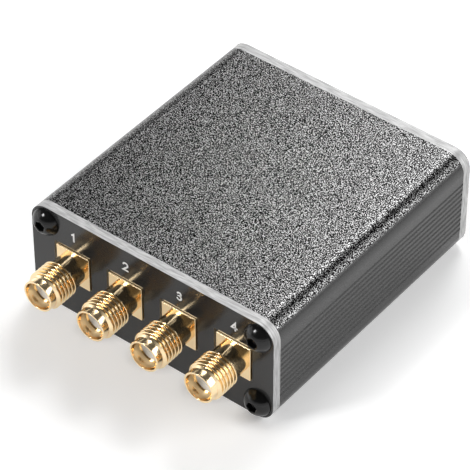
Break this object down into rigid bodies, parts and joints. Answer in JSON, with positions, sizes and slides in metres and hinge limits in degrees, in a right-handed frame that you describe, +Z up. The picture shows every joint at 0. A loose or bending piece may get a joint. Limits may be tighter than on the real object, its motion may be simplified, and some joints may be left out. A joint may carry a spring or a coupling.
{
  "type": "active rf splitter",
  "caption": "Small flat metal box with a row of gold coaxial jacks on one end and an input jack and power socket on the other; splits a radio signal.",
  "frame": {"origin": "centre of the case's underside", "axes": "+X along the row of output ports, +Y from the output ports to the input side, +Z up"},
  "size_m": [0.045, 0.0625, 0.0185],
  "materials": {
    "black_case": "bead-blasted black anodised aluminium",
    "black_plate": "glossy black face with bare aluminium edges",
    "black_screw": "black oxide steel",
    "gold_plate": "polished gold plate",
    "white_insulator": "white fluoropolymer",
    "board": "satin green solder mask",
    "steel_shell": "drawn stainless steel",
    "black_plastic": "moulded black",
    "ferrite": "sintered ferrite",
    "bright_aluminium": "drawn aluminium can",
    "chip_ceramic": "fired ceramic with tinned ends"
  },
  "bodies": {
    "root": {"amplifier_chip": "black_plastic", "bias_choke": "ferrite", "case_base": "black_case", "case_cover": "black_case", "circuit_board": "board", "coupling_capacitors": "chip_ceramic", "first_divider": "chip_ceramic", "front_plate": "black_plate", "input_contact": "gold_plate", "input_insulator": "white_insulator", "input_jack_body": "gold_plate", "isolation_resistors": "chip_ceramic", "panel_screws": "black_screw", "port_1_contact": "gold_plate", "port_1_insulator": "white_insulator", "port_1_jack_body": "gold_plate", "port_2_contact": "gold_plate", "port_2_insulator": "white_insulator", "port_2_jack_body": "gold_plate", "port_3_contact": "gold_plate", "port_3_insulator": "white_insulator", "port_3_jack_body": "gold_plate", "port_4_contact": "gold_plate", "port_4_insulator": "white_insulator", "port_4_jack_body": "gold_plate", "power_socket_insert": "black_plastic", "power_socket_shell": "steel_shell", "rear_plate": "black_plate", "rear_screws": "black_screw", "regulator_chip": "black_plastic", "second_divider_left": "chip_ceramic", "second_divider_right": "chip_ceramic", "supply_capacitor": "bright_aluminium"}
  },
  "joints": []
}
